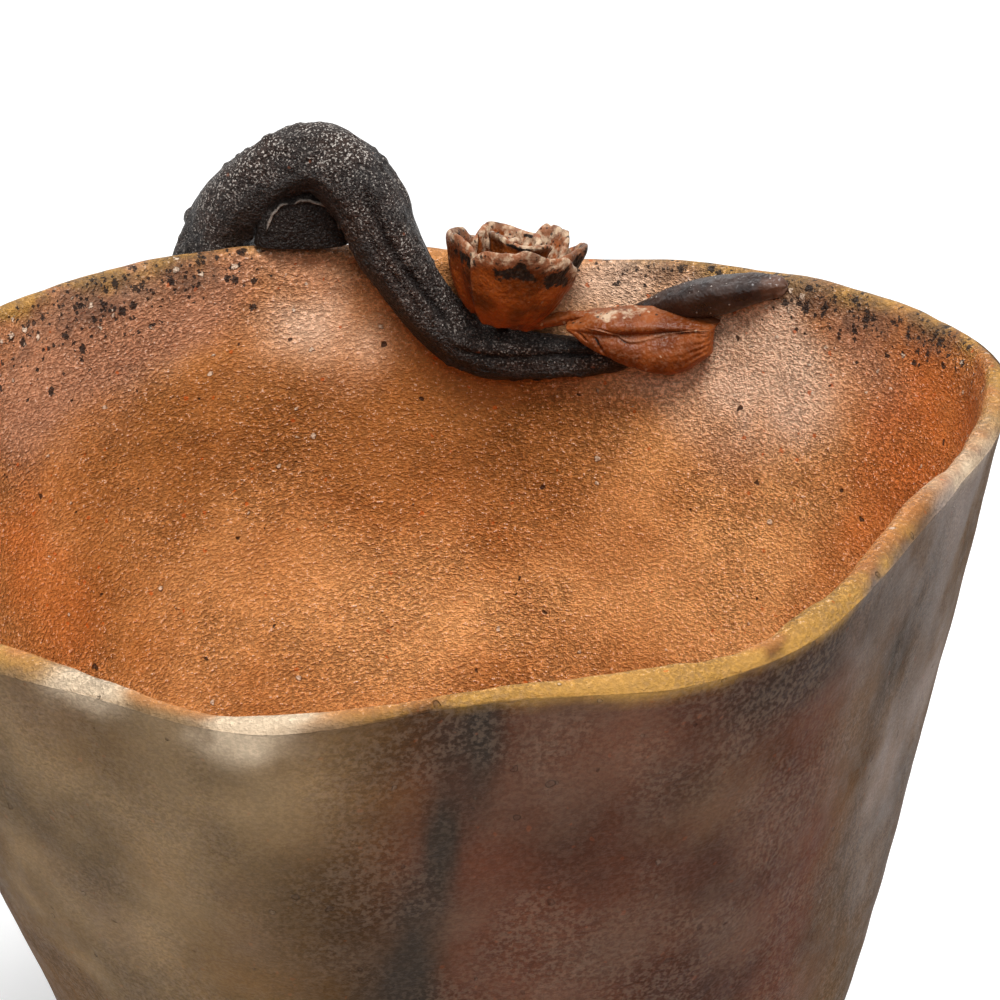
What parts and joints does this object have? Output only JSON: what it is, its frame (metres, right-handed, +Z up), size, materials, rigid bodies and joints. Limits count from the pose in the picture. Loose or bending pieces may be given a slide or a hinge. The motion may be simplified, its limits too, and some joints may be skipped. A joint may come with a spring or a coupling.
{
  "type": "cup",
  "caption": "Hand-pinched tapering stoneware cup with a wavy rim, a clay branch that arches over the rim, and a leaf and an open flower inside the wall.",
  "frame": {"origin": "middle of the flat foot, on the surface that the cup stands on", "axes": "+Z up along the cup's axis, -Y toward the viewer of the picture, +X to the viewer's right"},
  "size_m": [0.0835, 0.0858, 0.0802],
  "materials": {
    "body_clay": "unglazed, sandy, flashed orange to grey",
    "dark_clay": "unglazed, near black, granular",
    "twig_clay": "unglazed, smooth, satin",
    "leaf_clay": "unglazed, satin, ash on the upper side",
    "flower_clay": "unglazed, satin, ash and char on the lips"
  },
  "bodies": {
    "root": {"cup_body": "body_clay", "branch": "dark_clay", "arch_pad": "dark_clay", "twig_tip": "twig_clay", "leaf": "leaf_clay", "leaf_stalk": "leaf_clay", "flower_base": "flower_clay", "flower_heart": "flower_clay", "petal_front": "flower_clay", "petal_right": "flower_clay", "petal_back_right": "flower_clay", "petal_back_left": "flower_clay", "petal_left": "flower_clay", "petal_inner_front": "flower_clay", "petal_inner_back": "flower_clay"}
  },
  "joints": []
}
